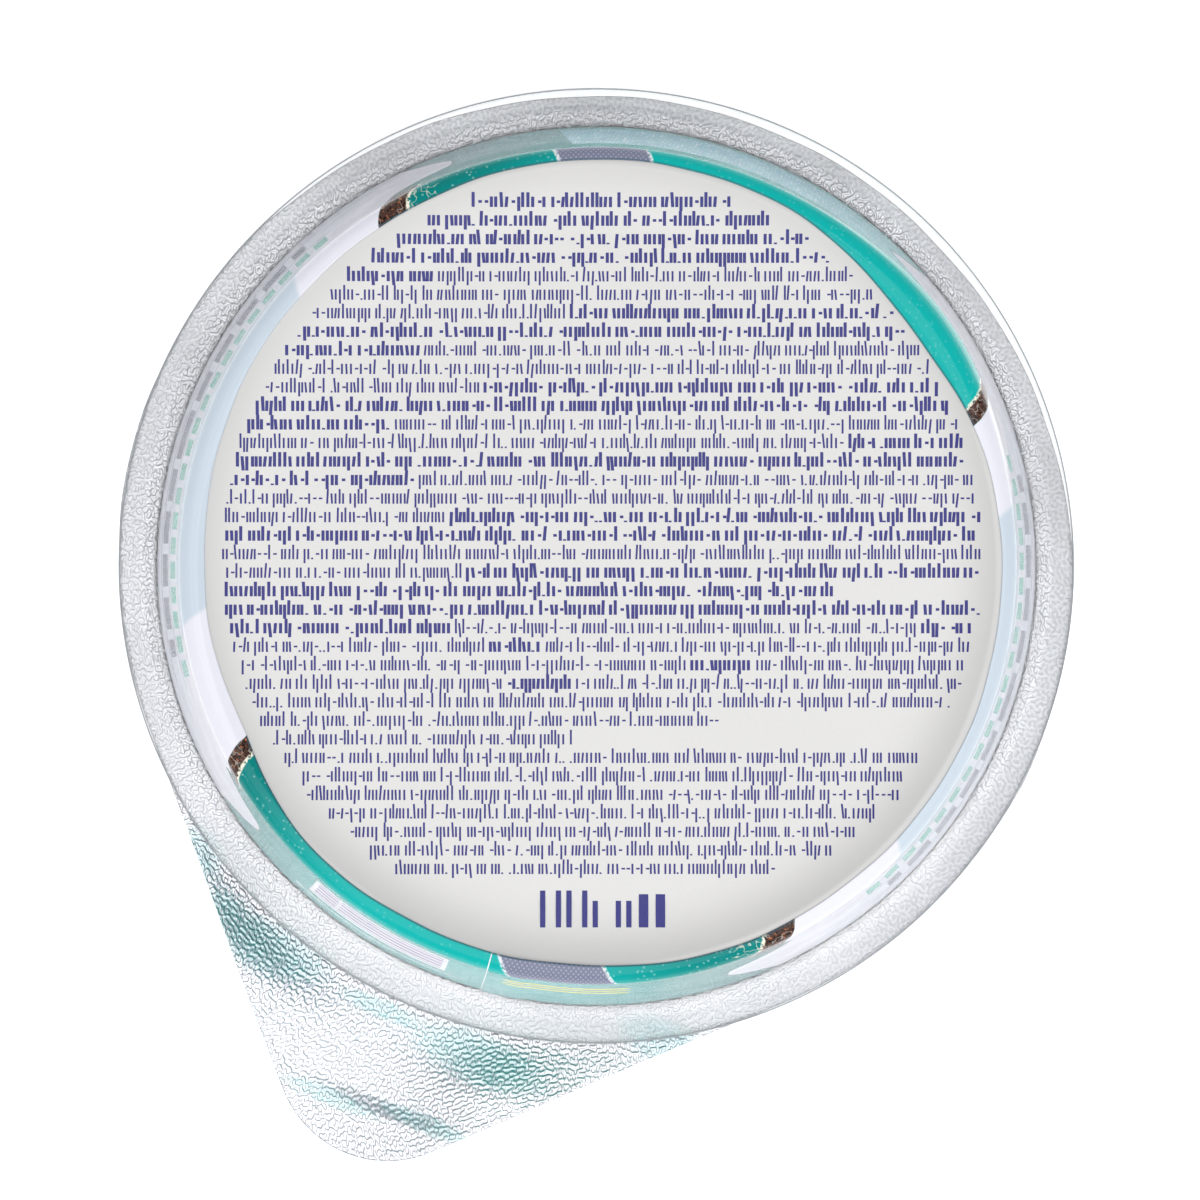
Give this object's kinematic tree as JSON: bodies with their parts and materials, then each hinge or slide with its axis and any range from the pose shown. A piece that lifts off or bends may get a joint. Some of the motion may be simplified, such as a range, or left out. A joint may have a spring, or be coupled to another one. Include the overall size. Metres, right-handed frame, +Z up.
{
  "type": "yogurt pot",
  "caption": "Shut single-serve yogurt pot: clear round cup with a printed sleeve and base, lying upside down on its embossed foil lid with a pull tab.",
  "frame": {"origin": "centre of the foil lid's flat outer face, which the pot lies on", "axes": "+Z up from the lid to the pot's base, -Y towards the lid's pull tab"},
  "size_m": [0.0955, 0.1109, 0.0283],
  "materials": {
    "foil": "embossed",
    "clear_plastic": "clear gloss",
    "yogurt": "satin",
    "sleeve_print": "gloss",
    "label_print": "satin"
  },
  "bodies": {
    "root": {"foil_lid": "foil", "cup": "clear_plastic", "yogurt": "yogurt", "printed_sleeve": "sleeve_print", "base_label": "label_print"}
  },
  "joints": []
}
